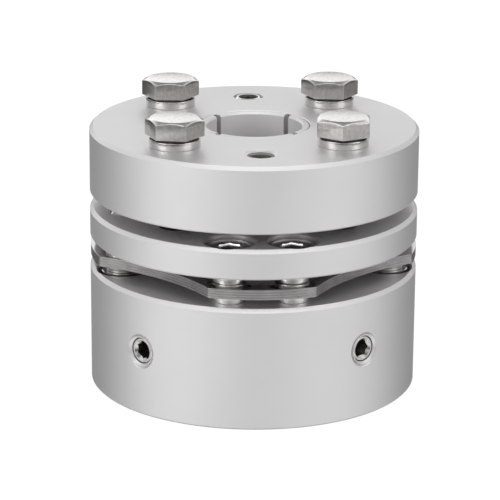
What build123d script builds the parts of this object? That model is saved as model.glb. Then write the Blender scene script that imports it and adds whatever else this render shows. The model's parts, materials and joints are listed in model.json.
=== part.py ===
from build123d import *
from math import asin, cos, degrees, radians, sin, tan
import os

os.makedirs("parts", exist_ok=True)

# Disc coupling, in millimetres. +Z is the shaft axis, and the origin is the centre of
# the lower hub's bottom face. Angles are seen from above, from +X; the front is at -90.

# Both hubs and the clamp ring
outer_d = 65.0           # outside diameter
rim_chamfer = 0.7        # 45 degree chamfer on each top rim
rim_break = 0.3          # broken edge on each bottom rim
bore_chamfer = 0.5

# Lower hub
lower_hub_h = 24.2
lower_bore_d = 19.0
tap_depth = 9.0          # blind M5 holes for the screws from above
key_hole_d = 5.5         # way for a key to the screws whose heads lie in this hub
pocket_floor = 1.0       # room under a head in its pocket

# Upper hub: a flange and a slotted, tapered sleeve in one piece
flange_t = 5.9
upper_bore_d = 19.0
sleeve_drop = 0.05       # the sleeve ends this far below the clamp ring's top
sleeve_chamfer = 0.4     # inner edge at the sleeve's mouth
sleeve_break = 0.25      # outer edge at the sleeve's mouth
cone_d = 21.8            # sleeve's diameter in the plane of the clamp ring's top
cone_rise = 0.1          # growth of the radius for each millimetre down
neck_cut = 0.4           # relief at the sleeve's root, under the cone
neck_lip = 0.8           # the cone runs this far below the clamp ring
slot_w = 1.2
slot_root = 1.0          # solid metal between a slot's end and the flange
slot_angles = [45, 135, 225, 315]

# Clamp ring
clamp_gap = 3.0          # left between the clamp ring and the flange
clamp_ring_t = 13.1
clamp_inset = 9.7        # from the rim to the clamp bolts and jack screws
cone_mouth = 0.25        # chamfer where the tapered bore meets the ring's top
bolt_hole_d = 6.6
jack_mouth = 0.1         # chamfer on the jack screws' holes

# Disc pack
disc_t = 0.5
disc_count = 4
pack_inset = 0.1         # the pads' outer edge lies this far inside the hub's rim
pad_half_angle = 18.4
waist_depth = 5.7        # dip of the outline between two pads
pack_band = 6.7          # width of the disc at its waists
pad_corner_r = 0.8

# Pack screws and spacers
screw_inset = 5.75       # from the rim to the pack screws
pad_screw_pitch = 12.0   # between the two screws of a pad
spacer_d = 6.5
lower_spacer_h = 1.9
upper_spacer_h = 1.9
screw_d = 5.0
screw_length = 12.0
screw_head_d = 8.5
screw_head_h = 5.0
screw_key = 4.0          # across the flats of the socket
screw_key_depth = 2.5
head_room = 0.75         # round a head, in the holes of both hubs
head_mouth = 0.3         # chamfer on those holes

# Clamp bolts and their spring washers
bolt_d = 6.0
bolt_length = 22.0
bolt_flats = 10.0
bolt_head_h = 4.0        # with the washer face
bolt_face_d = 8.9
bolt_face_h = 0.5
bolt_crown_d = 9.2       # flat circle on top of the head
bolt_crown_slope = 30.0
washer_t = 1.6
washer_width = 1.8       # across the wire
washer_gap = 0.5
washer_slant = 25.0      # tilt of the cut through the wire

# Set screws in the lower hub and jack screws in the clamp ring
grub_d = 6.0
grub_key = 3.0
grub_key_depth = 3.0
grub_key_mouth = 0.3     # the socket's countersink reaches this far past its corners
grub_cup_d = 3.0
end_chamfer = 0.6        # at the ends of every thread
set_screw_length = 20.0
set_screw_recess = 1.0
set_screw_mouth = 0.5    # chamfer where its hole meets the hub's side
jack_screw_length = 12.0

# Clearances
thread_gap = 0.02        # between a shank and its tapped hole
shank_gap = 0.15         # between a shank and a plain hole
cone_gap = 0.02          # between the sleeve and the clamp ring

# Sides of the coupling
side_angles = {"front": -90, "right": 0, "back": 90, "left": 180}
jack_recess = {"front": 0.7, "back": 0.1}

# Clamp bolts: place on the circle, and turn of the tightened head
clamp_bolts = {
    "front_left": (-135, 20),
    "front_right": (-45, -5),
    "back_right": (45, 24),
    "back_left": (135, 26),
}

# Set screws: place on the rim, height of the axis, and turn of the socket
set_screws = {
    "left": (-135, 12.9, 30),
    "right": (-51.7, 13.7, 0),
}

# Heights, stacked upwards from the bottom face
pack_z = lower_hub_h + lower_spacer_h
pack_top_z = pack_z + disc_count * disc_t
flange_z = pack_top_z + upper_spacer_h
flange_top_z = flange_z + flange_t
ring_z = flange_top_z + clamp_gap
ring_top_z = ring_z + clamp_ring_t
sleeve_top_z = ring_top_z - sleeve_drop

# Radii, inwards from the rim
rim_r = outer_d / 2
screw_circle_r = rim_r - screw_inset
clamp_circle_r = rim_r - clamp_inset
pad_r = rim_r - pack_inset
waist_r = pad_r - waist_depth

head_hole_d = screw_head_d + 2 * head_room
pad_pitch = 360 / len(side_angles)


def on_circle(radius, angle, z=0.0):
    return Pos(radius * cos(radians(angle)), radius * sin(radians(angle)), z)


def turned(points):
    # a solid turned about Z from its half section, given as radius and height
    return revolve(make_face(Plane.XZ * Polyline(*points, close=True)), Axis.Z)


def cone_radius(z):
    return cone_d / 2 + (ring_top_z - z) * cone_rise


def hole(diameter, depth, mouth=0.0):
    # cutter for a flat-bottomed hole down from z = 0, with a chamfered mouth
    radius = diameter / 2
    over = radius
    if mouth == 0:
        return Pos(0, 0, -depth) * extrude(Circle(radius), depth + over)
    return turned([
        (0, over),
        (radius + mouth + over, over),
        (radius, -mouth),
        (radius, -depth),
        (0, -depth),
    ])


def hex_prism(flats, height):
    return extrude(RegularPolygon(flats / 2, 6, major_radius=False, rotation=30), height)


def screw_places():
    # the eight pack screws: name, side, and place on the screw circle
    half_pitch = degrees(asin(pad_screw_pitch / 2 / screw_circle_r))
    order = list(side_angles)
    places = []
    for index, side in enumerate(order):
        before = order[index - 1]
        after = order[(index + 1) % len(order)]
        places.append((f"{side}_{before}", side, side_angles[side] - half_pitch))
        places.append((f"{side}_{after}", side, side_angles[side] + half_pitch))
    return places


def faces_up(side):
    # screws of the front and back pads go down into the lower hub, the others go up
    return side in ("front", "back")


def lower_hub():
    bore_r = lower_bore_d / 2
    hub = turned([
        (bore_r + bore_chamfer, 0),
        (rim_r - rim_break, 0),
        (rim_r, rim_break),
        (rim_r, lower_hub_h - rim_chamfer),
        (rim_r - rim_chamfer, lower_hub_h),
        (bore_r + bore_chamfer, lower_hub_h),
        (bore_r, lower_hub_h - bore_chamfer),
        (bore_r, bore_chamfer),
    ])
    tapped = hole(screw_d + 2 * thread_gap, tap_depth)
    pocket = hole(head_hole_d, screw_head_h + pocket_floor, head_mouth)
    key_way = Cylinder(key_hole_d / 2, 3 * lower_hub_h)
    for name, side, angle in screw_places():
        place = on_circle(screw_circle_r, angle, lower_hub_h)
        if faces_up(side):
            hub -= place * tapped
        else:
            hub -= place * (pocket + key_way)
    radial = hole(grub_d + 2 * thread_gap, rim_r, set_screw_mouth)
    for angle, height, turn in set_screws.values():
        hub -= on_circle(rim_r, angle, height) * Rot(0, 0, angle) * Rot(0, 90, 0) * radial
    return hub


def upper_hub():
    bore_r = upper_bore_d / 2
    lip_z = ring_z - neck_lip
    neck_r = cone_radius(lip_z) - neck_cut
    hub = turned([
        (bore_r + bore_chamfer, flange_z),
        (rim_r - rim_break, flange_z),
        (rim_r, flange_z + rim_break),
        (rim_r, flange_top_z - rim_chamfer),
        (rim_r - rim_chamfer, flange_top_z),
        (neck_r, flange_top_z),
        (neck_r, lip_z),
        (cone_radius(lip_z), lip_z),
        (cone_radius(sleeve_top_z), sleeve_top_z - sleeve_break),
        (cone_radius(sleeve_top_z) - sleeve_break, sleeve_top_z),
        (bore_r + sleeve_chamfer, sleeve_top_z),
        (bore_r, sleeve_top_z - sleeve_chamfer),
        (bore_r, flange_z + bore_chamfer),
    ])
    slot_h = sleeve_top_z - flange_top_z
    slot = Pos(0, 0, flange_top_z + slot_root) * Box(
        2 * cone_d, slot_w, slot_h, align=(Align.MIN, Align.CENTER, Align.MIN)
    )
    for angle in slot_angles:
        hub -= Rot(0, 0, angle) * slot
    through = 2 * flange_t
    head_hole = hole(head_hole_d, through, head_mouth)
    pack_tap = hole(screw_d + 2 * thread_gap, through)
    clamp_tap = hole(bolt_d + 2 * thread_gap, through)
    for name, side, angle in screw_places():
        cutter = head_hole if faces_up(side) else pack_tap
        hub -= on_circle(screw_circle_r, angle, flange_top_z) * cutter
    for angle, turn in clamp_bolts.values():
        hub -= on_circle(clamp_circle_r, angle, flange_top_z) * clamp_tap
    return hub


def clamp_ring():
    low_r = cone_radius(ring_z) + cone_gap
    high_r = cone_radius(ring_top_z) + cone_gap
    ring = turned([
        (low_r, ring_z),
        (rim_r - rim_break, ring_z),
        (rim_r, ring_z + rim_break),
        (rim_r, ring_top_z - rim_chamfer),
        (rim_r - rim_chamfer, ring_top_z),
        (high_r + cone_mouth, ring_top_z),
        (high_r + cone_mouth * cone_rise, ring_top_z - cone_mouth),
    ])
    through = 2 * clamp_ring_t
    for angle, turn in clamp_bolts.values():
        ring -= on_circle(clamp_circle_r, angle, ring_top_z) * hole(bolt_hole_d, through)
    for side in jack_recess:
        place = on_circle(clamp_circle_r, side_angles[side], ring_top_z)
        ring -= place * hole(grub_d + 2 * thread_gap, through, jack_mouth)
    return ring


def pack_outline():
    # pads on the rim joined by hollow waists
    edges = []
    for middle in side_angles.values():
        start = middle - pad_half_angle
        end = middle + pad_half_angle
        pad = [on_circle(pad_r, angle).position for angle in (start, middle, end)]
        waist = on_circle(waist_r, middle + pad_pitch / 2).position
        corner = on_circle(pad_r, middle + pad_pitch - pad_half_angle).position
        edges.append(ThreePointArc(*pad))
        edges.append(ThreePointArc(pad[2], waist, corner))
    outline = make_face(Wire(edges))
    return fillet(outline.vertices(), pad_corner_r)


def disc(level):
    outline = pack_outline() - Circle(waist_r - pack_band)
    screw_hole = Circle(screw_d / 2 + shank_gap)
    for name, side, angle in screw_places():
        outline -= on_circle(screw_circle_r, angle) * screw_hole
    return Pos(0, 0, pack_z + level * disc_t) * extrude(outline, disc_t)


def spacer(height):
    return extrude(Circle(spacer_d / 2) - Circle(screw_d / 2 + shank_gap), height)


def pack_screw():
    # head up, with the bearing face at z = 0
    head_r = screw_head_d / 2
    shank_r = screw_d / 2
    body = turned([
        (0, screw_head_h),
        (head_r - rim_break, screw_head_h),
        (head_r, screw_head_h - rim_break),
        (head_r, 0),
        (shank_r, 0),
        (shank_r, end_chamfer - screw_length),
        (shank_r - end_chamfer, -screw_length),
        (0, -screw_length),
    ])
    return body - Pos(0, 0, screw_head_h - screw_key_depth) * hex_prism(screw_key, screw_head_h)


def clamp_bolt():
    # hexagon head up, with the bearing face at z = 0
    shank_r = bolt_d / 2
    corner_r = bolt_flats / 2 / cos(radians(30))
    crown_r = bolt_crown_d / 2
    crown_drop = (corner_r - crown_r) * tan(radians(bolt_crown_slope))
    crown = turned([
        (0, 0),
        (corner_r, 0),
        (corner_r, bolt_head_h - crown_drop),
        (crown_r, bolt_head_h),
        (0, bolt_head_h),
    ])
    head = Pos(0, 0, bolt_face_h) * hex_prism(bolt_flats, bolt_head_h - bolt_face_h)
    shank = turned([
        (0, bolt_face_h),
        (bolt_face_d / 2, bolt_face_h),
        (bolt_face_d / 2, 0),
        (shank_r, 0),
        (shank_r, end_chamfer - bolt_length),
        (shank_r - end_chamfer, -bolt_length),
        (0, -bolt_length),
    ])
    return (head & crown) + shank


def spring_washer():
    # a split ring pressed flat, with its slanted cut at +X; every cut is turned to the back
    inner_r = bolt_d / 2 + shank_gap
    ring = extrude(Circle(inner_r + washer_width) - Circle(inner_r), washer_t)
    cut = Box(2 * washer_width, washer_gap, 3 * washer_t)
    place = Pos(inner_r + washer_width / 2, 0, washer_t / 2)
    return ring - place * Rot(washer_slant, 0, 0) * cut


def grub_screw(length):
    # socket end at z = 0 and a cup point below
    radius = grub_d / 2
    cup_r = grub_cup_d / 2
    body = turned([
        (0, 0),
        (radius - end_chamfer, 0),
        (radius, -end_chamfer),
        (radius, radius - cup_r - length),
        (cup_r, -length),
        (0, cup_r / 2 - length),
    ])
    mouth_r = grub_key / 2 / cos(radians(30)) + grub_key_mouth
    countersink = turned([(0, mouth_r), (2 * mouth_r, mouth_r), (0, -mouth_r)])
    socket = Pos(0, 0, -grub_key_depth) * hex_prism(grub_key, 2 * grub_key_depth)
    return body - countersink - socket


def build():
    nodes = {
        "lower_hub": lower_hub(),
        "upper_hub": upper_hub(),
        "clamp_ring": clamp_ring(),
    }
    for level in range(disc_count):
        nodes[f"disc_{level + 1}"] = disc(level)

    screw = pack_screw()
    for name, side, angle in screw_places():
        column = on_circle(screw_circle_r, angle)
        nodes[f"lower_spacer_{name}"] = column * Pos(0, 0, lower_hub_h) * spacer(lower_spacer_h)
        nodes[f"upper_spacer_{name}"] = column * Pos(0, 0, pack_top_z) * spacer(upper_spacer_h)
        if faces_up(side):
            seat = Pos(0, 0, flange_z)
        else:
            seat = Pos(0, 0, lower_hub_h) * Rot(180, 0, 0)
        nodes[f"pack_screw_{name}"] = column * seat * screw

    washer = spring_washer()
    bolt = clamp_bolt()
    for name, (angle, turn) in clamp_bolts.items():
        column = on_circle(clamp_circle_r, angle, ring_top_z)
        nodes[f"spring_washer_{name}"] = column * Rot(0, 0, abs(angle)) * washer
        nodes[f"clamp_bolt_{name}"] = column * Pos(0, 0, washer_t) * Rot(0, 0, turn) * bolt

    jack_screw = grub_screw(jack_screw_length)
    for side, recess in jack_recess.items():
        place = on_circle(clamp_circle_r, side_angles[side], ring_top_z - recess)
        nodes[f"jack_screw_{side}"] = place * jack_screw

    set_screw = grub_screw(set_screw_length)
    for side, (angle, height, turn) in set_screws.items():
        place = on_circle(rim_r - set_screw_recess, angle, height) * Rot(0, 0, angle)
        nodes[f"set_screw_{side}"] = place * Rot(0, 90, 0) * Rot(0, 0, turn) * set_screw
    return nodes


for node_name, shape in build().items():
    export_step(shape, f"parts/{node_name}.step")
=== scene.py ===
# Disc coupling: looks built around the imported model, in metres.
import json
import math

import bpy
from mathutils import Matrix, Vector


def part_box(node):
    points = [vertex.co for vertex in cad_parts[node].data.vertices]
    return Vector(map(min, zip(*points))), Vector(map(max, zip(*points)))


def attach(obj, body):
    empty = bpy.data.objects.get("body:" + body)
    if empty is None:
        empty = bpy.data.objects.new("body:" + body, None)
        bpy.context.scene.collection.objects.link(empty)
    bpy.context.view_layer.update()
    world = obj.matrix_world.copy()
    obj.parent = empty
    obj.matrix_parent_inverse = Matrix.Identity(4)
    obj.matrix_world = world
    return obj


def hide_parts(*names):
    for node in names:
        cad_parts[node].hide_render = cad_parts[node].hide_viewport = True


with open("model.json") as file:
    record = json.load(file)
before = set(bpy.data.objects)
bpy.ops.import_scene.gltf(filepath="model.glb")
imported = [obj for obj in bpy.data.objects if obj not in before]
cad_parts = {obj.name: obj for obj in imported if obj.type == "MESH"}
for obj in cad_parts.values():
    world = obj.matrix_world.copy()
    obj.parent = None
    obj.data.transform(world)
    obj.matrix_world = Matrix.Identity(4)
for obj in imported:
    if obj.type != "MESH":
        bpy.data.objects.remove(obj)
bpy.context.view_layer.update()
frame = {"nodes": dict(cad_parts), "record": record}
print("stage: frame loaded")

mm = 0.001


def srgbToLinear(hexValue):
    # six hex digits to the linear colour that the nodes want
    parts = [int(hexValue[i:i + 2], 16) / 255 for i in (0, 2, 4)]
    return [c / 12.92 if c <= 0.04045 else ((c + 0.055) / 1.055) ** 2.4 for c in parts] + [1.0]


def addNode(tree, kind, settings=None, **links):
    # one node with its settings; a link is a socket, anything else is a value
    node = tree.nodes.new(kind)
    for name, value in (settings or {}).items():
        setattr(node, name, value)
    for name, value in links.items():
        place = int(name[1:]) if name[1:].isdigit() else name.replace("_", " ")
        socket = node.inputs[place]
        if isinstance(value, bpy.types.NodeSocket):
            tree.links.new(value, socket)
        else:
            socket.default_value = value
    return node


# settings that many nodes share
multiply = {"operation": "MULTIPLY"}
absolute = {"operation": "ABSOLUTE"}
maximum = {"operation": "MAXIMUM"}
smoothly = {"interpolation_type": "SMOOTHSTEP"}
colours = {"data_type": "RGBA"}

# camera, where the coupling is looked at from
cameraSpec = {
    "distance": 0.5176,
    "elevation": 17.23,     # degrees above the horizon
    "azimuth": -3.2,        # degrees round from the front
    "roll": 0.45,
    "target": (-0.00066, 0.0, 0.02597),
    "lens": 186.3,          # mm
    "sensor": 36.0,
    "clip": (0.01, 50.0),
}


def addCamera():
    spec = cameraSpec
    data = bpy.data.cameras.new("camera")
    data.lens = spec["lens"]
    data.sensor_width = spec["sensor"]
    data.clip_start, data.clip_end = spec["clip"]
    camera = bpy.data.objects.new("camera", data)
    bpy.context.scene.collection.objects.link(camera)
    tilt = math.radians(90 - spec["elevation"])
    turn = Matrix.Rotation(math.radians(spec["azimuth"]), 4, "Z")
    aim = turn @ Matrix.Rotation(tilt, 4, "X")
    back = aim @ Vector((0, 0, spec["distance"]))
    place = Matrix.Translation(turn @ Vector(spec["target"]) + back)
    camera.matrix_world = place @ aim @ Matrix.Rotation(math.radians(spec["roll"]), 4, "Z")
    bpy.context.scene.camera = camera


addCamera()

# light: a white studio; sizes in metres, lamp power in watts, levels where 1 is white.
# A turn is the range over which one level gives way to the next. It counts how far a ray
# points to the front (walls, user, sweep, room in front), to the right (right side, dark part
# of the sweep), to either side (soft lights), or up (the rest).
studioSpec = {
    "ambient": 0.60,                # what the room gives to paper and other dull surfaces
    "wallFront": 0.82,              # the room as bright metal sees it: in front,
    "wallBack": 0.10,               # behind,
    "wallTurn": (-0.85, 0.30),      # and where it goes over
    "rightShare": 0.90,             # the right side is a little darker
    "rightTurn": (-0.3, 1.0),
    "operator": (0.92, 0.985),      # the dark camera and its user, straight in front
    "operatorLevel": 0.58,
    "near": (1.16, 0.88),           # the table's level close by and further away
    "nearTurn": (-0.36, -0.25),
    "feet": (-0.46, -0.34),         # below this the user no longer darkens the table
    "skyBack": 1.50,                # above the horizon: the bright sweep behind,
    "skySide": 0.36,                # the darker sides
    "skyFront": 0.95,               # and the room in front
    "backTurn": (-0.55, -0.88),
    "frontTurn": (-0.1, 0.5),
    "skyTurn": (0.10, 0.24),
    "horizon": 0.25,                # share left in the dim strip along the horizon
    "horizonTurn": (0.05, 0.16),
    "zenith": 0.22,                 # dark ceiling between the sweep and the lamp
    "zenithTurn": (0.45, 0.70),
    "softSide": 1.00,               # broad lights high up to the left and right of it
    "softTurn": (0.35, 0.60),
    "sweepTurn": (-0.05, 0.07),     # the sweep is darker a little to the right
    "sweepRight": 0.84,
    "shadow": 0.25,                 # share of the floor's white that the shadow can take
    "paper": 1.13,                  # level of the rest, so that open floor is just white
    "paperSize": 6.0,
    "paperDrop": 0.02 * mm,         # the floor lies this far under the part
    "covered": 31.0 * mm,           # radius of the paper under the part, painted dark grey as shade
    "coveredDrop": 0.01 * mm,
    "coveredSteps": 96,
    "paintedShadeGrey": (0.3, 0.3, 0.3, 1),
    "lampTarget": (0, 0, 0.03),
    "lamps": {
        "topBox": {"at": (0.0, -0.24, 0.88), "size": (0.9, 0.40), "power": 2.0},
        "leftBox": {"at": (-0.55, -0.36, 0.22), "size": (0.40, 0.22), "power": 0.8},
        "rightBox": {"at": (0.55, -0.36, 0.22), "size": (0.40, 0.22), "power": 0.6},
    },
}


def addLamp(name, spec):
    data = bpy.data.lights.new(name, "AREA")
    data.shape = "RECTANGLE"
    data.size, data.size_y = spec["size"]
    data.energy = spec["power"]
    lamp = bpy.data.objects.new(name, data)
    bpy.context.scene.collection.objects.link(lamp)
    at = Vector(spec["at"])
    aim = (Vector(studioSpec["lampTarget"]) - at).to_track_quat("-Z", "Y")
    lamp.matrix_world = Matrix.Translation(at) @ aim.to_matrix().to_4x4()


def limits(turn, start=0.0, end=1.0):
    # the four values of a map range: from the turn to a start and an end level
    return {"From_Min": turn[0], "From_Max": turn[1], "To_Min": start, "To_Max": end}


def buildRoom():
    # white where the camera sees it, an even level for dull surfaces, and for bright metal a
    # room with a table, walls, a sweep behind and a ceiling
    spec = studioSpec
    world = bpy.data.worlds.new("studio")
    bpy.context.scene.world = world
    world.use_nodes = True
    tree = world.node_tree
    tree.nodes.clear()
    # the ray's way over the ground, its rise, and its shares to the front and to the right
    ray = addNode(tree, "ShaderNodeTexCoord").outputs["Generated"]
    rayParts = addNode(tree, "ShaderNodeSeparateXYZ", None, Vector=ray)
    rise = rayParts.outputs[2]
    level = addNode(tree, "ShaderNodeVectorMath", multiply, _0=ray, _1=(1, 1, 0))
    flat = addNode(tree, "ShaderNodeVectorMath", {"operation": "NORMALIZE"}, _0=level.outputs[0])
    way = addNode(tree, "ShaderNodeSeparateXYZ", None, Vector=flat.outputs[0])
    right = way.outputs[0]
    front = addNode(tree, "ShaderNodeMath", multiply, _0=way.outputs[1], _1=-1.0).outputs[0]
    # below the horizon: walls and table, darker behind, to the right and where the user stands
    wall = addNode(tree, "ShaderNodeMapRange", smoothly, Value=front,
                   **limits(spec["wallTurn"], spec["wallBack"], spec["wallFront"]))
    side = addNode(tree, "ShaderNodeMapRange", None, Value=right,
                   **limits(spec["rightTurn"], 1.0, spec["rightShare"]))
    sided = addNode(tree, "ShaderNodeMath", multiply, _0=wall.outputs[0], _1=side.outputs[0])
    near = addNode(tree, "ShaderNodeMapRange", None, Value=rise,
                   **limits(spec["nearTurn"], *spec["near"]))
    table = addNode(tree, "ShaderNodeMath", multiply, _0=sided.outputs[0], _1=near.outputs[0])
    user = addNode(tree, "ShaderNodeMapRange", smoothly, Value=front,
                   **limits(spec["operator"], 1.0, spec["operatorLevel"]))
    feet = addNode(tree, "ShaderNodeMapRange", smoothly, Value=rise, **limits(spec["feet"]))
    shade = addNode(tree, "ShaderNodeMix", None, _0=feet.outputs[0], _2=1.0, _3=user.outputs[0])
    low = addNode(tree, "ShaderNodeMath", multiply, _0=table.outputs[0], _1=shade.outputs[0])
    # above it: the sweep behind, darker to the right, and the room in front
    back = addNode(tree, "ShaderNodeMapRange", smoothly, Value=front,
                   **limits(spec["backTurn"], spec["skySide"], spec["skyBack"]))
    fade = addNode(tree, "ShaderNodeMapRange", None, Value=right,
                   **limits(spec["sweepTurn"], 1.0, spec["sweepRight"]))
    sweep = addNode(tree, "ShaderNodeMath", multiply, _0=back.outputs[0], _1=fade.outputs[0])
    fore = addNode(tree, "ShaderNodeMapRange", smoothly, Value=front,
                   **limits(spec["frontTurn"], spec["skySide"], spec["skyFront"]))
    high = addNode(tree, "ShaderNodeMath", maximum, _0=sweep.outputs[0], _1=fore.outputs[0])
    aloft = addNode(tree, "ShaderNodeMath", multiply, _0=high.outputs[0], _1=user.outputs[0])
    lift = addNode(tree, "ShaderNodeMapRange", smoothly, Value=rise, **limits(spec["skyTurn"]))
    sky = addNode(tree, "ShaderNodeMix", None, _0=lift.outputs[0], _2=low.outputs[0],
                  _3=aloft.outputs[0])
    # overhead: a dark ceiling with a soft light at each side
    apart = addNode(tree, "ShaderNodeMath", absolute, _0=rayParts.outputs[0])
    ceiling = addNode(tree, "ShaderNodeMapRange", smoothly, Value=apart.outputs[0],
                      **limits(spec["softTurn"], spec["zenith"], spec["softSide"]))
    top = addNode(tree, "ShaderNodeMapRange", smoothly, Value=rise, **limits(spec["zenithTurn"]))
    around = addNode(tree, "ShaderNodeMix", None, _0=top.outputs[0], _2=sky.outputs[0],
                     _3=ceiling.outputs[0])
    # and a dim strip along the horizon
    slope = addNode(tree, "ShaderNodeMath", absolute, _0=rise)
    strip = addNode(tree, "ShaderNodeMapRange", smoothly, Value=slope.outputs[0],
                    **limits(spec["horizonTurn"], spec["horizon"], 1.0))
    metal = addNode(tree, "ShaderNodeMath", multiply, _0=around.outputs[0], _1=strip.outputs[0])
    path = addNode(tree, "ShaderNodeLightPath")
    mirrored = addNode(tree, "ShaderNodeMath", maximum, _0=path.outputs["Is Glossy Ray"],
                       _1=path.outputs["Is Transmission Ray"])
    room = addNode(tree, "ShaderNodeMix", None, _0=mirrored.outputs[0], _2=spec["ambient"],
                   _3=metal.outputs[0])
    glow = addNode(tree, "ShaderNodeMix", None, _0=path.outputs["Is Camera Ray"],
                   _2=room.outputs[0], _3=1.0)
    light = addNode(tree, "ShaderNodeBackground", None, Color=(1, 1, 1, 1),
                    Strength=glow.outputs[0])
    addNode(tree, "ShaderNodeOutputWorld", None, Surface=light.outputs[0])


def emptyMaterial(name):
    material = bpy.data.materials.new(name)
    material.use_nodes = True
    material.node_tree.nodes.clear()
    return material, material.node_tree


def buildFloor():
    # white paper that keeps the shadow; bright metal looks past it into the room
    spec = studioSpec
    bpy.ops.mesh.primitive_plane_add(size=spec["paperSize"], location=(0, 0, -spec["paperDrop"]))
    floor = bpy.context.object
    floor.name = "floor"
    material, tree = emptyMaterial("paperSweep")
    path = addNode(tree, "ShaderNodeLightPath")
    white = addNode(tree, "ShaderNodeBsdfDiffuse", None, Color=(1, 1, 1, 1))
    glow = addNode(tree, "ShaderNodeEmission", None, Color=(1, 1, 1, 1), Strength=spec["paper"])
    paper = addNode(tree, "ShaderNodeMixShader", None, Fac=1 - spec["shadow"],
                    _1=white.outputs[0], _2=glow.outputs[0])
    clear = addNode(tree, "ShaderNodeBsdfTransparent")
    mix = addNode(tree, "ShaderNodeMixShader", None, Fac=path.outputs["Is Glossy Ray"],
                  _1=paper.outputs[0], _2=clear.outputs[0])
    addNode(tree, "ShaderNodeOutputMaterial", None, Surface=mix.outputs[0])
    floor.data.materials.append(material)
    # the paper under the part doesn't glow and is painted dark grey as shade, so its bore and key
    # holes are dark inside
    bpy.ops.mesh.primitive_circle_add(vertices=spec["coveredSteps"], radius=spec["covered"],
                                      fill_type="NGON", location=(0, 0, -spec["coveredDrop"]))
    covered = bpy.context.object
    covered.name = "coveredFloor"
    material, tree = emptyMaterial("paperInTheDark")
    dark = addNode(tree, "ShaderNodeBsdfDiffuse", None, Color=spec["paintedShadeGrey"])
    addNode(tree, "ShaderNodeOutputMaterial", None, Surface=dark.outputs[0])
    covered.data.materials.append(material)


buildRoom()
buildFloor()
for name, spec in studioSpec["lamps"].items():
    addLamp(name, spec)
print("stage: studio ready")


def newMaterial(name, metallic, roughness):
    material = bpy.data.materials.new(name)
    material.use_nodes = True
    tree = material.node_tree
    shader = tree.nodes["Principled BSDF"]
    shader.inputs["Metallic"].default_value = metallic
    shader.inputs["Roughness"].default_value = roughness
    return material, tree, shader


def finishTree(tree, shader, colour, roughness, height, depth):
    # join the patterns to the shader; depth is the bump's height in metres
    tree.links.new(colour, shader.inputs["Base Color"])
    tree.links.new(roughness, shader.inputs["Roughness"])
    bump = addNode(tree, "ShaderNodeBump", None, Strength=1.0, Distance=depth, Height=height)
    tree.links.new(bump.outputs[0], shader.inputs["Normal"])


# anodised aluminium, turned, then satin etched: an even silver grey with hardly any tool
# marks, and a duller, rougher bore
anodisedSpec = {
    "light": "EAE9E9",
    "dark": "E2E1E1",
    "metallic": 0.92,           # the oxide skin scatters a little of the light
    "roughness": (0.46, 0.52),
    "toolPitch": 0.35 * mm,     # drawn coarser than the real 0.1 mm feed, so that it shows
    "toolDepth": 0.0006 * mm,
    "grain": 0.12 * mm,         # etched grain
    "grainDepth": 0.0012 * mm,
    "cloud": 14 * mm,           # slow change from light to dark
    "boredTurn": (9.50 * mm, 9.56 * mm),    # radius that parts the bore from the rest
    "boredRoughness": 0.62,
    "boredMetallic": 0.45,
}


def anodisedAluminium():
    spec = anodisedSpec
    material, tree, shader = newMaterial("satinAnodisedAluminium", spec["metallic"],
                                         spec["roughness"][0])
    # rings left by a lathe tool, as a noise of radius and height
    place = addNode(tree, "ShaderNodeTexCoord").outputs["Object"]
    split = addNode(tree, "ShaderNodeSeparateXYZ", None, Vector=place)
    flat = addNode(tree, "ShaderNodeCombineXYZ", None, X=split.outputs[0], Y=split.outputs[1])
    length = addNode(tree, "ShaderNodeVectorMath", {"operation": "LENGTH"}, _0=flat.outputs[0])
    radius = length.outputs["Value"]
    rings = addNode(tree, "ShaderNodeCombineXYZ", None, X=radius, Y=split.outputs[2])
    lines = addNode(tree, "ShaderNodeTexNoise", None, Vector=rings.outputs[0],
                    Scale=1 / spec["toolPitch"], Detail=2.0, Roughness=0.6)
    grain = addNode(tree, "ShaderNodeTexNoise", None, Vector=place, Scale=1 / spec["grain"],
                    Detail=2.0)
    cloud = addNode(tree, "ShaderNodeTexNoise", None, Vector=place, Scale=1 / spec["cloud"],
                    Detail=3.0)
    colour = addNode(tree, "ShaderNodeMix", colours, _0=cloud.outputs["Fac"],
                     _6=srgbToLinear(spec["dark"]), _7=srgbToLinear(spec["light"]))
    turned = addNode(tree, "ShaderNodeMapRange", None, Value=lines.outputs["Fac"],
                     To_Min=spec["roughness"][0], To_Max=spec["roughness"][1])
    outside = addNode(tree, "ShaderNodeMapRange", None, Value=radius, **limits(spec["boredTurn"]))
    rough = addNode(tree, "ShaderNodeMix", None, _0=outside.outputs[0],
                    _2=spec["boredRoughness"], _3=turned.outputs[0])
    skin = addNode(tree, "ShaderNodeMix", None, _0=outside.outputs[0],
                   _2=spec["boredMetallic"], _3=spec["metallic"])
    tree.links.new(skin.outputs[0], shader.inputs["Metallic"])
    height = addNode(tree, "ShaderNodeMath", {"operation": "MULTIPLY_ADD"},
                     _0=lines.outputs["Fac"], _1=spec["toolDepth"] / spec["grainDepth"],
                     _2=grain.outputs["Fac"])
    finishTree(tree, shader, colour.outputs[2], rough.outputs[0], height.outputs[0],
               spec["grainDepth"])
    return material


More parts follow.
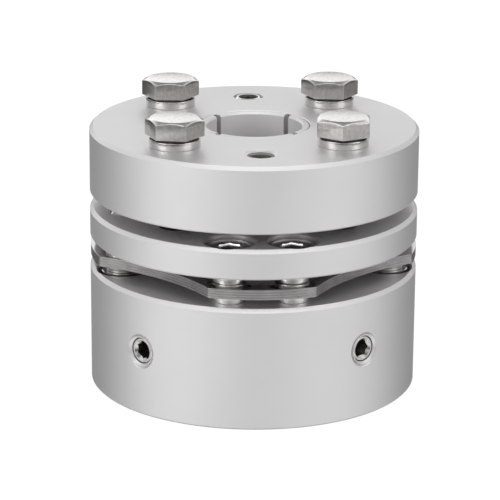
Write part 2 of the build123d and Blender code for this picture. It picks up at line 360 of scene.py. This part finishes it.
# stainless steel of several makes: one row for each finish. Roughness goes over with the
# specks; level and upright are a second tone for faces that lie or stand.
steelSpec = {
    # cold rolled sheet with sheared edges: a dull mirror with fine lines
    "coldRolledStainlessSheet": {
        "light": "DBD9D8", "dark": "BFBDBC", "roughness": (0.18, 0.28),
        "pitch": 0.18 * mm, "depth": 0.0015 * mm, "stretch": (0.15, 0.15, 1.0),
        "speck": 2.5 * mm,
        # the level tone darkens the sheets' flat faces a little: painted shade for where they lie
        # in the gaps
        "level": "F0F0F0", "upright": "CBCBCB", "uprightRoughness": 0.44},
    # finely turned bar: a soft, bright satin with faint rings round each spacer
    "brightTurnedStainless": {
        "light": "F1F0EE", "dark": "E1E0DE", "roughness": (0.26, 0.34),
        "pitch": 0.15 * mm, "depth": 0.0008 * mm, "stretch": (0.2, 0.2, 1.0),
        "speck": 2.0 * mm},
    # cold forged A2 bolts: top lightly pitted and bright, flats darker with drawn lines
    "coldForgedStainless": {
        "light": "F1EFED", "dark": "D1CFCD", "roughness": (0.24, 0.34),
        "pitch": 0.30 * mm, "depth": 0.0100 * mm, "stretch": (1.0, 1.0, 0.05),
        "speck": 0.7 * mm,
        "level": "FFFFFF", "upright": "DCDBDA", "uprightRoughness": 0.28},
    # flattened spring wire: smooth and bright
    "brightSpringSteel": {
        "light": "E1DFDD", "dark": "C9C7C5", "roughness": (0.14, 0.22),
        "pitch": 0.15 * mm, "depth": 0.0008 * mm, "stretch": (0.2, 0.2, 1.0),
        "speck": 1.5 * mm},
    # socket cap screws, pickled: grey with a soft shine
    "pickledStainlessScrew": {
        "light": "D5D3D2", "dark": "BBB9B8", "roughness": (0.16, 0.26),
        "pitch": 0.20 * mm, "depth": 0.0010 * mm, "stretch": (1.0, 1.0, 1.0),
        "speck": 1.0 * mm},
    # painted shade: deep in the sockets, under the bolts' heads, on their shanks and in the seam
    # the steel is painted nearly black, standing for the shade that falls there
    "oilStainedSteel": {
        "light": "66645F", "dark": "44423F", "roughness": (0.45, 0.60),
        "pitch": 0.20 * mm, "depth": 0.0030 * mm, "stretch": (1.0, 1.0, 1.0),
        "speck": 0.5 * mm},
    # set and jack screws, polished: clear reflections
    "polishedStainlessScrew": {
        "light": "DEDCDA", "dark": "C9C7C5", "roughness": (0.10, 0.18),
        "pitch": 0.20 * mm, "depth": 0.0006 * mm, "stretch": (1.0, 1.0, 1.0),
        "speck": 1.0 * mm},
}
# what they share: how far the lines count beside the specks, the range of both that goes
# from dark to light, and how level a normal stands where a face stops being upright
steelBlend = {"linesShare": 0.5, "toneTurn": (0.5, 1.0), "uprightTurn": (0.5, 0.9)}


def uprightShare(tree):
    # one on upright faces such as a sheet's sheared edge, nothing on level ones
    normal = addNode(tree, "ShaderNodeTexCoord").outputs["Normal"]
    up = addNode(tree, "ShaderNodeSeparateXYZ", None, Vector=normal).outputs[2]
    level = addNode(tree, "ShaderNodeMath", absolute, _0=up)
    share = addNode(tree, "ShaderNodeMapRange", None, Value=level.outputs[0],
                    **limits(steelBlend["uprightTurn"], 1.0, 0.0))
    return share.outputs[0]


def steel(name):
    spec = steelSpec[name]
    material, tree, shader = newMaterial(name, 1.0, spec["roughness"][0])
    place = addNode(tree, "ShaderNodeTexCoord").outputs["Object"]
    drawn = addNode(tree, "ShaderNodeMapping", None, Vector=place, Scale=spec["stretch"])
    lines = addNode(tree, "ShaderNodeTexNoise", None, Vector=drawn.outputs[0],
                    Scale=1 / spec["pitch"], Detail=3.0, Roughness=0.6)
    speck = addNode(tree, "ShaderNodeTexNoise", None, Vector=place, Scale=1 / spec["speck"],
                    Detail=4.0)
    blend = addNode(tree, "ShaderNodeMath", {"operation": "MULTIPLY_ADD"},
                    _0=lines.outputs["Fac"], _1=steelBlend["linesShare"],
                    _2=speck.outputs["Fac"])
    tone = addNode(tree, "ShaderNodeMapRange", None, Value=blend.outputs[0],
                   **limits(steelBlend["toneTurn"]))
    colour = addNode(tree, "ShaderNodeMix", colours, _0=tone.outputs[0],
                     _6=srgbToLinear(spec["dark"]), _7=srgbToLinear(spec["light"]))
    rough = addNode(tree, "ShaderNodeMapRange", None, Value=speck.outputs["Fac"],
                    To_Min=spec["roughness"][0], To_Max=spec["roughness"][1])
    tint, gloss = colour.outputs[2], rough.outputs[0]
    if "upright" in spec:
        # upright faces are duller: sheared edges of the sheets, drawn flats of the bolts; on the
        # sheets the level tone is painted shade
        upright = uprightShare(tree)
        share = addNode(tree, "ShaderNodeMix", colours, _0=upright,
                        _6=srgbToLinear(spec["level"]), _7=srgbToLinear(spec["upright"]))
        tint = addNode(tree, "ShaderNodeMix", {**colours, "blend_type": "MULTIPLY"}, _0=1.0,
                       _6=tint, _7=share.outputs[2]).outputs[2]
        gloss = addNode(tree, "ShaderNodeMix", None, _0=upright, _2=gloss,
                        _3=spec["uprightRoughness"]).outputs[0]
    finishTree(tree, shader, tint, gloss, lines.outputs["Fac"], spec["depth"])
    return material


finishes = {
    "anodised_aluminium": anodisedAluminium(),
    "stainless_sheet": steel("coldRolledStainlessSheet"),
    "turned_stainless": steel("brightTurnedStainless"),
    "stainless_bolt": steel("coldForgedStainless"),
    "spring_steel": steel("brightSpringSteel"),
    "stainless_screw": steel("pickledStainlessScrew"),
    "polished_screw": steel("polishedStainlessScrew"),
}
stainFinish = steel("oilStainedSteel")
slotOf = {row["node"]: row["material_slot"] for row in frame["record"]["subparts"]}
for name, node in frame["nodes"].items():
    node.data.materials.clear()
    node.data.materials.append(finishes[slotOf[name]])
print("stage: materials ready")

# what the new shapes share, in mm and degrees
shapeSpec = {
    "spare": 1.0,           # how far a cutting tool passes the shape
    "overlap": 0.1,         # how far two shapes run into each other
    "weld": 0.0001,         # points nearer than this are joined
    "sharpAngle": 32.0,     # an edge stays sharp above this
}
# a thread's section, as shares of its pitch and of its depth
threadSection = [(0.10, 0.0), (0.45, 1.0), (0.55, 1.0), (0.90, 0.0)]


def pick(piece):
    bpy.ops.object.select_all(action="DESELECT")
    piece.select_set(True)
    bpy.context.view_layer.objects.active = piece


def spun(name, section, steps):
    # a section, as radius and height in mm, drawn point by point and spun round Z
    weld = shapeSpec["weld"] * mm
    bpy.ops.mesh.primitive_plane_add(size=mm, location=(0, 0, 0))
    piece = bpy.context.object
    piece.name = name
    bpy.ops.object.mode_set(mode="EDIT")
    bpy.ops.mesh.merge(type="CENTER")
    last = Vector((0, 0, 0))
    for index, (radius, height) in enumerate(section + [section[0]]):
        point = Vector((radius, 0, height)) * mm
        step = point - last
        last = point
        if index == 0:
            bpy.ops.transform.translate(value=step)
        else:
            bpy.ops.mesh.extrude_region_move(TRANSFORM_OT_translate={"value": step})
    bpy.ops.mesh.select_all(action="SELECT")
    bpy.ops.mesh.remove_doubles(threshold=weld)
    bpy.ops.mesh.spin(steps=steps, angle=2 * math.pi, center=(0, 0, 0), axis=(0, 0, 1))
    bpy.ops.mesh.select_all(action="SELECT")
    bpy.ops.mesh.remove_doubles(threshold=weld)
    bpy.ops.mesh.normals_make_consistent(inside=False)
    bpy.ops.object.mode_set(mode="OBJECT")
    return piece


def cornerRadius(flats):
    # from the middle of a hexagon to its corners
    return flats / 2 / math.cos(math.radians(30))


def hexBar(name, flats, low, high):
    # a six-sided bar between two heights in mm, with two of its corners on Y
    bpy.ops.mesh.primitive_cylinder_add(vertices=6, radius=cornerRadius(flats) * mm,
                                        depth=(high - low) * mm,
                                        location=(0, 0, (low + high) / 2 * mm))
    piece = bpy.context.object
    piece.name = name
    bpy.ops.object.transform_apply(location=True, rotation=True, scale=True)
    return piece


def cut(piece, tool, operation="DIFFERENCE"):
    pick(piece)
    modifier = piece.modifiers.new("cut", "BOOLEAN")
    modifier.operation = operation
    modifier.solver = "EXACT"
    modifier.object = tool
    bpy.ops.object.modifier_apply(modifier=modifier.name)
    bpy.data.objects.remove(tool)


def countersink(piece, radius, top, fall, spare, steps):
    # a cone cut into a face at a height in mm; fall is its depth per mm of radius
    cut(piece, spun("cone", [(0, top + spare), (radius + spare, top + spare), (radius, top),
                             (0, top - radius * fall)], steps))


def roundEdges(piece, width, angle=60.0, segments=3):
    # rounded edges of a width in mm wherever two faces meet more sharply than the angle
    pick(piece)
    modifier = piece.modifiers.new("round", "BEVEL")
    modifier.width = width * mm
    modifier.segments = segments
    modifier.limit_method = "ANGLE"
    modifier.angle_limit = math.radians(angle)
    bpy.ops.object.modifier_apply(modifier=modifier.name)


def smooth(piece, angle=shapeSpec["sharpAngle"]):
    pick(piece)
    bpy.ops.object.shade_smooth_by_angle(angle=math.radians(angle))


def stain(piece, radius, low, high):
    # faces inside a radius and between two heights in mm, such as a socket's, take the painted
    # shade finish
    for face in piece.data.polygons:
        centre = face.center / mm
        if math.hypot(centre.x, centre.y) < radius and low < centre.z < high:
            face.material_index = 1


def put(master, name, matrix, node, slot):
    # one copy with its own mesh at its place, standing for a node of the frame
    piece = master.copy()
    piece.data = master.data.copy()
    piece.name = name
    piece.data.name = name
    bpy.context.scene.collection.objects.link(piece)
    piece.data.transform(matrix)
    stained = [face.material_index for face in piece.data.polygons]
    piece.data.materials.clear()
    piece.data.materials.append(finishes[slot])
    # faces marked with painted shade take the dark second finish
    if any(stained):
        piece.data.materials.append(stainFinish)
        piece.data.polygons.foreach_set("material_index", stained)
    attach(piece, "root")
    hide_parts(node)


def putRing(name, section, steps, matrix, finish):
    # a ring that belongs to the aluminium but stands for no node of its own
    piece = spun(name, section, steps)
    smooth(piece)
    piece.data.transform(matrix)
    piece.data.materials.append(finish)
    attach(piece, "root")


def onAxis(node, end, rise=0.0):
    # point on the middle line of a node's box, a rise in mm above its foot, middle or top
    low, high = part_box(node)
    middle = (low + high) / 2
    height = {"foot": low, "middle": middle, "top": high}[end].z
    return Vector((middle.x, middle.y, height + rise * mm))


def aboutZ(degrees):
    return Matrix.Rotation(math.radians(degrees), 4, "Z")


def nodesCalled(start):
    # each node whose name starts so, with the rest of its name
    return [(name, name[len(start):]) for name in frame["nodes"] if name.startswith(start)]


def threadRows(spec, length):
    # crests and roots of a screw's thread from the head down, in mm
    radius, pitch = spec["diameter"] / 2, spec["pitch"]
    start, end = spec["threadEnds"]
    rows = []
    for index in range(int((length - end - start) / pitch)):
        top = -start - index * pitch
        rows += [(radius - deep * spec["threadDepth"], top - along * pitch)
                 for along, deep in threadSection]
    return rows


# clamp bolts: M6 hexagon heads with a crown turned on them and a washer face below. Sizes in
# mm and degrees; threadEnds is how far the thread keeps from the head and from the tip.
clampBoltSpec = {
    "flats": 10.0, "headHeight": 4.0, "crownWidth": 9.2, "crownSlope": 30.0,
    "edge": 0.08, "edgeAngle": 20.0, "edgeSegments": 2, "sharpAngle": 22.0,
    "faceWidth": 8.9, "faceHeight": 0.5, "faceEdge": 0.05,
    "neck": (0.02, 0.1),        # the shank widens so much over this height under the head
    "diameter": 6.0, "pitch": 1.0, "threadDepth": 0.54, "threadEnds": (1.8, 0.8),
    "length": 22.0, "tipChamfer": 0.6,
    "shadeMargin": 0.1, "shadeTop": -0.05,
    "headSteps": 96, "shankSteps": 64,
    "turns": {"front_left": 20.0, "front_right": -5.0, "back_right": 24.0, "back_left": 26.0},
}


def buildClampBolts():
    spec, spare, overlap = clampBoltSpec, shapeSpec["spare"], shapeSpec["overlap"]
    top, crown = spec["headHeight"], spec["crownWidth"] / 2
    head = hexBar("boltHead", spec["flats"], spec["faceHeight"], top)
    rim = cornerRadius(spec["flats"]) + spare
    fall = (rim - crown) * math.tan(math.radians(spec["crownSlope"]))
    crownTool = spun("crownTool", [(0, -spare), (rim, -spare), (rim, top - fall), (crown, top),
                                   (0, top)], spec["headSteps"])
    cut(head, crownTool, "INTERSECT")
    roundEdges(head, spec["edge"], spec["edgeAngle"], spec["edgeSegments"])
    radius, length = spec["diameter"] / 2, spec["length"]
    face, raised, edge = spec["faceWidth"] / 2, spec["faceHeight"], spec["faceEdge"]
    tip = spec["tipChamfer"]
    wider, neck = spec["neck"]
    shank = spun("boltShank", [
        (0, raised + overlap), (face - edge, raised + overlap), (face, raised), (face, edge),
        (face - edge, 0), (radius + wider, 0), (radius, -neck)]
        + threadRows(spec, length)
        + [(radius, -length + tip), (radius - tip, -length), (0, -length)], spec["shankSteps"])
    pick(head)
    shank.select_set(True)
    bpy.ops.object.join()
    smooth(head, spec["sharpAngle"])
    # painted shade: the washer face's side and the shank are painted dark
    stain(head, face + spec["shadeMargin"], 0.0, raised)
    stain(head, radius + spec["shadeMargin"], -length - spare, spec["shadeTop"])
    for node, key in nodesCalled("clamp_bolt_"):
        at = Matrix.Translation(onAxis(node, "top", -top))
        put(head, "bolt_" + key, at @ aboutZ(spec["turns"][key]), node, "stainless_bolt")
    bpy.data.objects.remove(head)


buildClampBolts()
print("stage: clamp bolts ready")

# spring washers: flat wire with rounded corners, cut on a slant; the cuts face back
springWasherSpec = {
    "inner": 3.15, "width": 1.8, "height": 1.6, "corner": 0.16, "steps": 96,
    "gap": 0.5, "slant": 25.0,
    "slitSize": (2.0, 3.0),     # of the tool, in widths and heights of the wire
    "turns": {"front_left": 135, "front_right": 45, "back_right": 45, "back_left": 135},
}


def buildSpringWashers():
    spec = springWasherSpec
    inner, wide, tall = spec["inner"], spec["width"], spec["height"]
    ring = spun("washer", [(inner, 0), (inner + wide, 0), (inner + wide, tall), (inner, tall)],
                spec["steps"])
    roundEdges(ring, spec["corner"])
    across, up = spec["slitSize"]
    bpy.ops.mesh.primitive_cube_add(size=1, location=((inner + wide / 2) * mm, 0, tall / 2 * mm),
                                    rotation=(math.radians(spec["slant"]), 0, 0),
                                    scale=(across * wide * mm, spec["gap"] * mm, up * tall * mm))
    cut(ring, bpy.context.object)
    smooth(ring)
    for node, key in nodesCalled("spring_washer_"):
        bolt, foot = onAxis("clamp_bolt_" + key, "middle"), onAxis(node, "foot")
        at = Matrix.Translation((bolt.x, bolt.y, foot.z))
        put(ring, "washer_" + key, at @ aboutZ(spec["turns"][key]), node, "spring_steel")
    bpy.data.objects.remove(ring)


buildSpringWashers()
print("stage: washers ready")

# set screws and jack screws: M6 with a socket above and a cup point below, sizes in mm. An
# unshaded depth is how far down the socket keeps its own finish; below it the socket is painted
# dark as shade. A fall is a depth per mm of radius. The rings are the hole's last turn of
# thread: radius, and height above the screw's face.
grubSpec = {
    "diameter": 6.0, "pitch": 1.0, "threadDepth": 0.54, "threadEnds": (0.75, 1.9),
    "faceWidth": 4.9, "faceEdge": (0.12, 0.08),
    "point": 1.7, "cup": 3.0, "cupRim": 0.1, "cupFall": 0.6,
    "key": 3.0, "keyDepth": 3.0, "mouth": 4.06, "mouthFall": 1.0,
    "drillOverlap": 0.2, "drillFall": 0.6, "sharpAngle": 25.0, "steps": 64, "drillSteps": 32,
    "jackLength": 12.0, "jackUnshaded": 0.05,
    "setLength": 20.0, "setUnshaded": 0.75,
    "setTurns": {"left": 30.0, "right": 0.0},
    "deepRing": [(3.04, 0.60), (2.98, 0.60), (2.62, 0.36), (2.62, 0.28), (2.98, 0.04),
                 (3.04, 0.04)],
    "threadRing": [(3.04, 0.52), (3.04, -0.36), (2.98, -0.36), (2.58, 0.04), (2.58, 0.10),
                   (2.98, 0.52)],
}


def grubScrew(name, length, clean):
    spec, spare = grubSpec, shapeSpec["spare"]
    radius, face, cup = spec["diameter"] / 2, spec["faceWidth"] / 2, spec["cup"] / 2
    edge, drop = spec["faceEdge"]
    rim, depth, mouth = spec["cupRim"], spec["keyDepth"], spec["mouth"] / 2
    body = spun(name, [(0, 0), (face - edge, 0), (face, -drop), (radius, -drop - (radius - face))]
                + threadRows(spec, length)
                + [(radius, -length + spec["point"]), (cup + rim, -length), (cup - rim, -length),
                   (0, -length + cup * spec["cupFall"])], spec["steps"])
    countersink(body, mouth, 0, spec["mouthFall"], spare, spec["steps"])
    cut(body, hexBar("socket", spec["key"], -depth, spare))
    drill, start = spec["key"] / 2, spec["drillOverlap"] - depth
    point = spun("point", [(0, start), (drill, start), (drill, -depth),
                           (0, -depth - spec["drillFall"] * drill)], spec["drillSteps"])
    cut(body, point)
    stain(body, mouth, -depth - drill, -clean)
    smooth(body, spec["sharpAngle"])
    return body


def buildGrubScrews():
    spec, steps = grubSpec, grubSpec["steps"]
    jack = grubScrew("jack", spec["jackLength"], spec["jackUnshaded"])
    for node, key in nodesCalled("jack_screw_"):
        put(jack, "jack_" + key, Matrix.Translation(onAxis(node, "top")), node, "polished_screw")
    bpy.data.objects.remove(jack)
    # above the screw that sits deeper
    putRing("thread_front", spec["deepRing"], steps,
            Matrix.Translation(onAxis("jack_screw_front", "top")), finishes["anodised_aluminium"])
    screw = grubScrew("setScrew", spec["setLength"], spec["setUnshaded"])
    for node, key in nodesCalled("set_screw_"):
        middle = onAxis(node, "middle")
        angle = math.atan2(middle.y, middle.x)
        out = Vector((math.cos(angle), math.sin(angle), 0))
        end = middle + out * spec["setLength"] / 2 * mm
        at = (Matrix.Translation(end) @ (Matrix.Rotation(angle, 4, "Z")
                                         @ Matrix.Rotation(math.radians(90), 4, "Y")
                                         @ aboutZ(spec["setTurns"][key])))
        put(screw, "setscrew_" + key, at, node, "polished_screw")
        putRing("thread_" + key, spec["threadRing"], steps, at, finishes["anodised_aluminium"])
    bpy.data.objects.remove(screw)


buildGrubScrews()
print("stage: set and jack screws ready")

# pack screws: M5 cap screws with a knurled head, sizes in mm. The socket keeps its full key
# size down to straight, then narrows by the taper in degrees down to tapered; below that, within
# shadeWidth, a share of the key, the socket is painted dark as shade. rim and foot are points of
# the head's side: how far inside its radius, and how far below its top or above its foot.
packScrewSpec = {
    "head": 8.5, "headHeight": 5.0,
    "rim": [(0.35, 0.0), (0.105, 0.042), (0.08, 0.35), (0.0, 0.50)],
    "foot": [(0.0, 0.35), (0.06, 0.1), (0.2, 0.0)],
    "knurls": 48, "knurlDepth": 0.10,
    "key": 4.0, "keyDepth": 2.5, "straight": 0.2, "tapered": 0.6, "taper": 20.0,
    "mouth": 4.9, "mouthFall": 1 / 1.73, "mouthSpare": 0.5, "mouthSteps": 48,
    "shadeWidth": 1.2, "shadeTop": 0.05, "sharpAngle": 25.0,
    "diameter": 5.0, "pitch": 0.8, "threadDepth": 0.43, "threadEnds": (0.8, 0.7),
    "length": 12.0, "tipChamfer": 0.6,
}


def buildPackScrews():
    spec, overlap = packScrewSpec, shapeSpec["overlap"]
    head, tall = spec["head"] / 2, spec["headHeight"]
    radius, length, tip = spec["diameter"] / 2, spec["length"], spec["tipChamfer"]
    steps = 2 * spec["knurls"]
    body = spun("packScrew", [(0, tall)]
                + [(head - inside, tall - below) for inside, below in spec["rim"]]
                + [(head - inside, above) for inside, above in spec["foot"]] + [(radius, 0)]
                + threadRows(spec, length)
                + [(radius, -length + tip), (radius - tip, -length), (0, -length)], steps)
    for vertex in body.data.vertices:
        # every second row of the head's side is pressed in a little
        flat = vertex.co.xy
        if flat.length > (head - spec["knurlDepth"] / 2) * mm:
            if round(math.atan2(flat.y, flat.x) / (2 * math.pi) * steps) % 2:
                vertex.co.xy = flat * (1 - spec["knurlDepth"] / head)
    countersink(body, spec["mouth"] / 2, tall, spec["mouthFall"], spec["mouthSpare"],
                spec["mouthSteps"])
    straight, tapered = spec["straight"], spec["tapered"]
    wide = spec["key"]
    deep = wide - 2 * (tapered - straight) * math.tan(math.radians(spec["taper"]))
    cut(body, hexBar("socket", wide, tall - straight, tall + shapeSpec["spare"]))
    cut(body, hexBar("socket", deep, tall - spec["keyDepth"], tall - tapered + overlap))
    bpy.ops.mesh.primitive_cone_add(
        vertices=6, radius1=cornerRadius(deep) * mm, radius2=cornerRadius(wide) * mm,
        depth=(tapered - straight) * mm, location=(0, 0, (tall - (tapered + straight) / 2) * mm))
    cut(body, bpy.context.object)
    stain(body, wide / 2 * spec["shadeWidth"], tall - spec["keyDepth"] - overlap,
          tall - tapered + spec["shadeTop"])
    smooth(body, spec["sharpAngle"])
    for node, key in nodesCalled("pack_screw_"):
        if key.startswith(("front", "back")):
            at = Matrix.Translation(onAxis(node, "top", -tall))
        else:
            # these four come from below, head down
            at = Matrix.Translation(onAxis(node, "foot", tall)) @ Matrix.Rotation(math.pi, 4, "X")
        put(body, "capscrew_" + key, at, node, "stainless_screw")
    bpy.data.objects.remove(body)


buildPackScrews()
print("stage: pack screws ready")

# spacers: short turned sleeves with a small radius at both ends
spacerSpec = {"outer": 6.5, "inner": 5.3, "edge": 0.16, "steps": 64}


def buildSpacers():
    spec = spacerSpec
    inner, outer = spec["inner"] / 2, spec["outer"] / 2
    for row in ("lower", "upper"):
        nodes = nodesCalled(row + "_spacer_")
        low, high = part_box(nodes[0][0])
        tall = (high.z - low.z) / mm
        ring = spun("spacer", [(inner, 0), (outer, 0), (outer, tall), (inner, tall)],
                    spec["steps"])
        roundEdges(ring, spec["edge"])
        smooth(ring)
        for node, key in nodes:
            put(ring, row + "sleeve_" + key, Matrix.Translation(onAxis(node, "foot")), node,
                "turned_stainless")
        bpy.data.objects.remove(ring)


buildSpacers()
print("stage: spacers ready")

# discs: the sheared edge of each sheet is a little rounded, so four sheets show as four lines
discSpec = {
    "edge": 0.07, "edgeAngle": 50.0, "edgeSegments": 2,     # mm and degrees
    "weld": 0.001, "flatAngle": 0.5,        # first joins the points and merges flat facets
}


def buildDiscs():
    # the frame's own shape, copied, with its edges rounded
    spec = discSpec
    for node, key in nodesCalled("disc_"):
        source = frame["nodes"][node]
        piece = source.copy()
        piece.data = source.data.copy()
        piece.name = "sheet_" + key
        piece.data.name = piece.name
        bpy.context.scene.collection.objects.link(piece)
        pick(piece)
        bpy.ops.object.mode_set(mode="EDIT")
        bpy.ops.mesh.select_all(action="SELECT")
        bpy.ops.mesh.customdata_custom_splitnormals_clear()
        bpy.ops.mesh.remove_doubles(threshold=spec["weld"] * mm)
        bpy.ops.mesh.dissolve_limited(angle_limit=math.radians(spec["flatAngle"]))
        bpy.ops.object.mode_set(mode="OBJECT")
        roundEdges(piece, spec["edge"], spec["edgeAngle"], spec["edgeSegments"])
        smooth(piece)
        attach(piece, "root")
        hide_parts(node)


buildDiscs()
print("stage: disc pack ready")

# seam between the clamp ring and the slotted sleeve: painted shade, a dark ring at the bottom of
# its groove, as radius and height in mm from the ring's top
seamSpec = {"section": [(10.82, -0.30), (10.98, -0.30), (10.96, -0.19), (10.82, -0.21)],
            "steps": 128}
putRing("seam", seamSpec["section"], seamSpec["steps"],
        Matrix.Translation(onAxis("clamp_ring", "top")), stainFinish)
print("stage: seam ready")

bpy.context.scene.view_settings.view_transform = "Standard"
